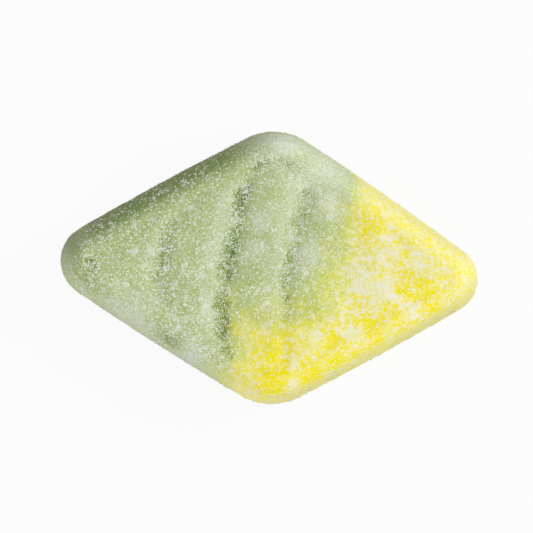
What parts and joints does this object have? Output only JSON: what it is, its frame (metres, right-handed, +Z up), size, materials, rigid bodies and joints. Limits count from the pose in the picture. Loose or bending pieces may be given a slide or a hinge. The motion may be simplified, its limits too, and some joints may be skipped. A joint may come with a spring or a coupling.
{
  "type": "sour foam candy",
  "caption": "Soft rhombus-shaped foam sweet in pale green and yellow, with rounded corners, a rimmed top moulded with plain cross ribs, a flat base and a coat of sour sugar crystals.",
  "frame": {"origin": "on the surface that the candy lies on, under the middle of its box", "axes": "+X along the long diagonal towards the yellow tip, +Y along the short diagonal, +Z up through the moulded face"},
  "size_m": [0.0421, 0.0277, 0.0108],
  "materials": {
    "foam": "soft foam, pale green running into yellow, dusted with sugar",
    "sugar": "white translucent sugar crystals"
  },
  "bodies": {
    "root": {"sugared_foam": "foam"}
  },
  "joints": []
}
